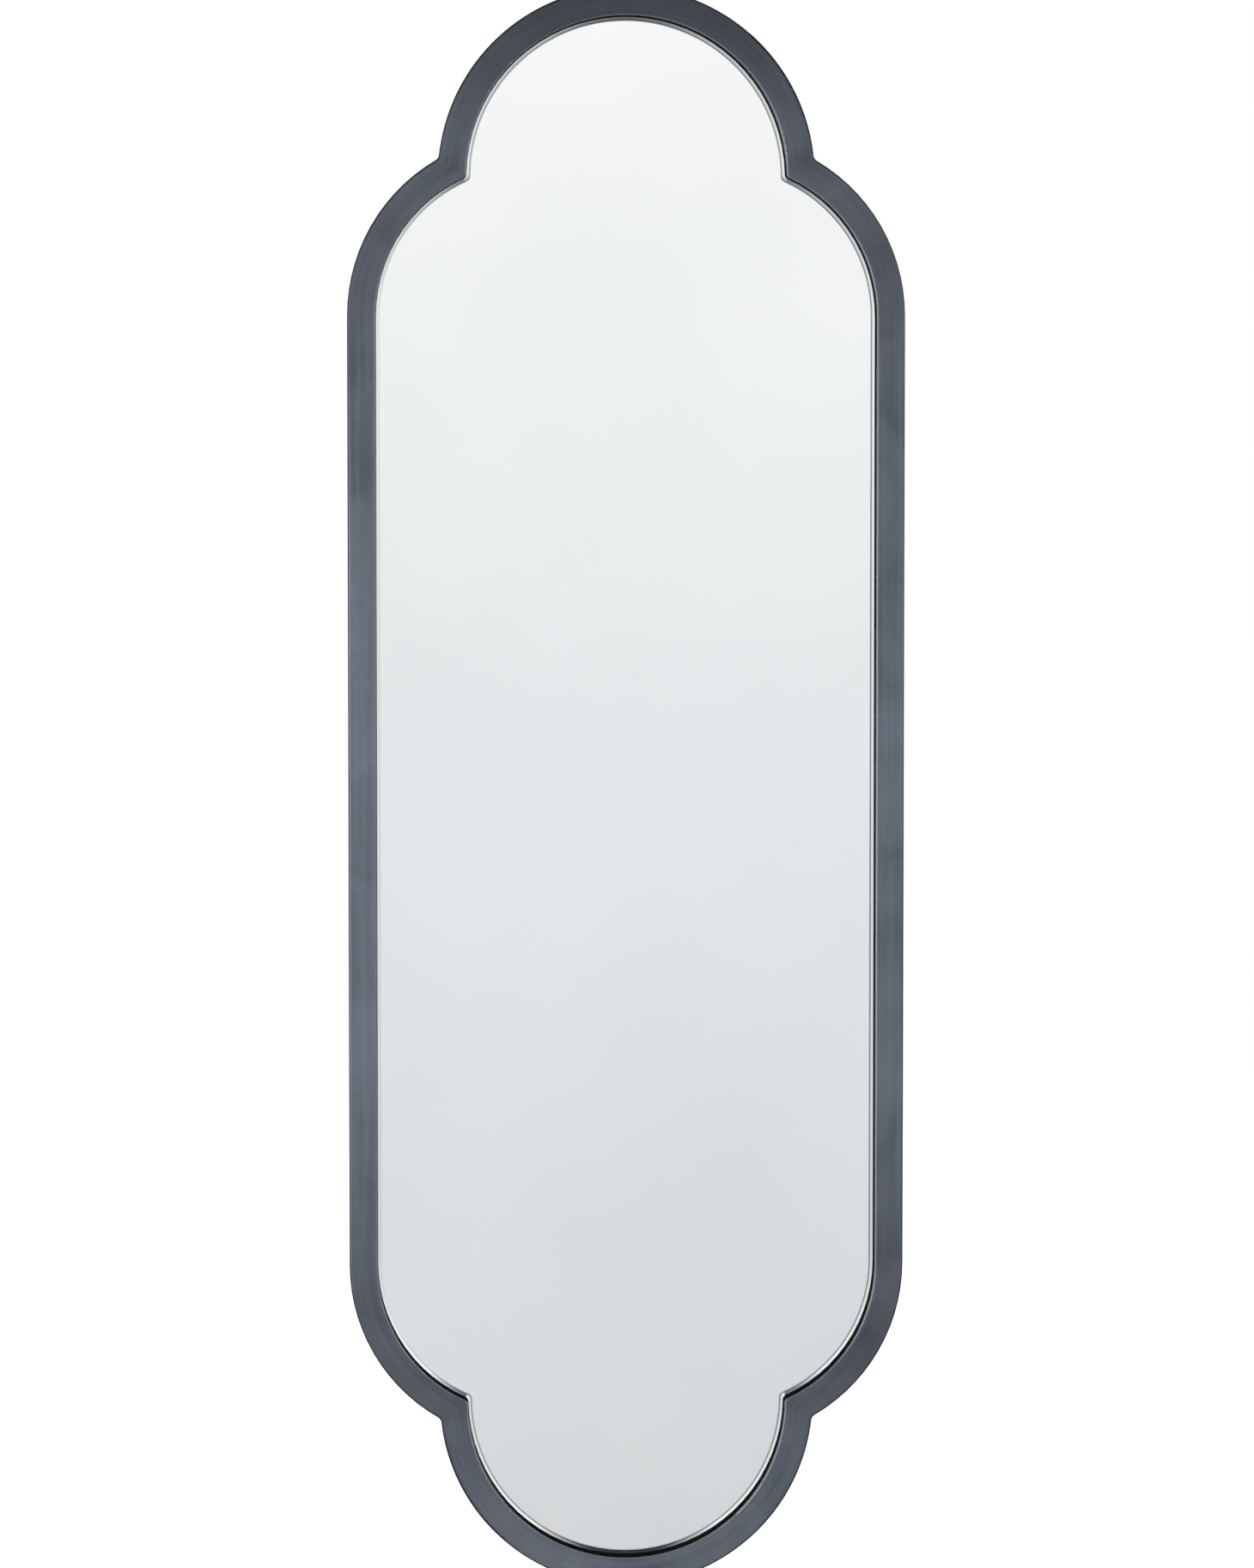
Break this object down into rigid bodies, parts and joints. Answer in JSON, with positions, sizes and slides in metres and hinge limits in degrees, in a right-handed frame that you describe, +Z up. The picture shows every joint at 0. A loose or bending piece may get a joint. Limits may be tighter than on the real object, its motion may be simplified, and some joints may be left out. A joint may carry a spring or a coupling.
{
  "type": "wall mirror",
  "caption": "Tall wall mirror with a round lobe at top and bottom, cusped shoulders, a deep dark metal channel frame, and D-ring hangers on its backing board.",
  "frame": {"origin": "centre of the outline on the wall plane, midway between the four bumper tips", "axes": "+Z up along the mirror's height, +X to the right seen from the front, +Y into the wall: the mirror faces -Y"},
  "size_m": [0.59, 0.045, 1.7],
  "materials": {
    "gunmetal_frame": "satin dark grey patina lacquer on steel",
    "glass": "clear float glass, narrow polished bevel",
    "silvering": "silver on the back of the glass",
    "backing_paint": "dark grey mirror-back paint",
    "foam_tape": "matt closed-cell foam",
    "mdf_board": "bare MDF, sanded",
    "zinc_screws": "bright zinc plate",
    "zinc_hangers": "bright zinc plate",
    "bumper_rubber": "matt moulded rubber"
  },
  "bodies": {
    "mirror": {"face_plate_top": "gunmetal_frame", "face_plate_bottom": "gunmetal_frame", "face_plate_left": "gunmetal_frame", "face_plate_right": "gunmetal_frame", "outer_band_top": "gunmetal_frame", "outer_band_bottom": "gunmetal_frame", "outer_band_left": "gunmetal_frame", "outer_band_right": "gunmetal_frame", "inner_band_top": "gunmetal_frame", "inner_band_bottom": "gunmetal_frame", "inner_band_left": "gunmetal_frame", "inner_band_right": "gunmetal_frame", "fixing_lugs": "gunmetal_frame", "hanger_plate_left": "gunmetal_frame", "hanger_plate_right": "gunmetal_frame", "mirror_glass": "glass", "silver_coating": "silvering", "backing_paint": "backing_paint", "mounting_tape": "foam_tape", "back_board": "mdf_board", "board_screws": "zinc_screws", "hanger_screws": "zinc_screws", "hanger_strap_left": "zinc_hangers", "hanger_strap_right": "zinc_hangers", "wall_bumpers": "bumper_rubber"},
    "left_ring": {"hanger_ring_left": "zinc_hangers"},
    "right_ring": {"hanger_ring_right": "zinc_hangers"}
  },
  "joints": [
    {"name": "left_ring_swing", "type": "hinge", "parent": "mirror", "child": "left_ring", "pos_m": [-0.2785, -0.0072, 0.43], "axis": [-1, 0, 0], "range_deg": [0, 178]},
    {"name": "right_ring_swing", "type": "hinge", "parent": "mirror", "child": "right_ring", "pos_m": [0.2785, -0.0072, 0.43], "axis": [-1, 0, 0], "range_deg": [0, 178]}
  ]
}
